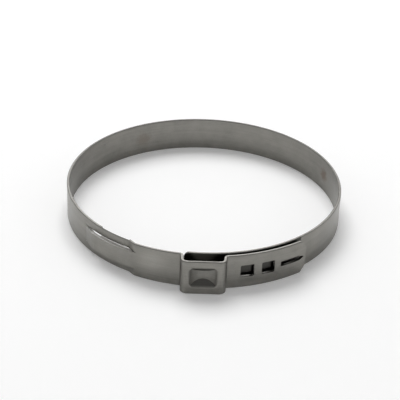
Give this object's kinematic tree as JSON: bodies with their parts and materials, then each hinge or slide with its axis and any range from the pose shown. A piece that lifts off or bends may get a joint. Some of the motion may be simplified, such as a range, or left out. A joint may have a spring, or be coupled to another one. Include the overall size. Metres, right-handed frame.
{
  "type": "ear hose clamp",
  "caption": "One-piece ear clamp: a thin steel strip bent into an overlapping ring, with one squeezable ear, hooked windows, a guide slot and a tongue under a raised strap.",
  "frame": {"origin": "centre of the bore at the middle of the band's width", "axes": "+Z along the bore axis, -Y towards the ear"},
  "size_m": [0.079, 0.0832, 0.01],
  "materials": {
    "stainless_strip": "satin rolled stainless strip, not polished"
  },
  "bodies": {
    "root": {"clamp_band": "stainless_strip"}
  },
  "joints": []
}
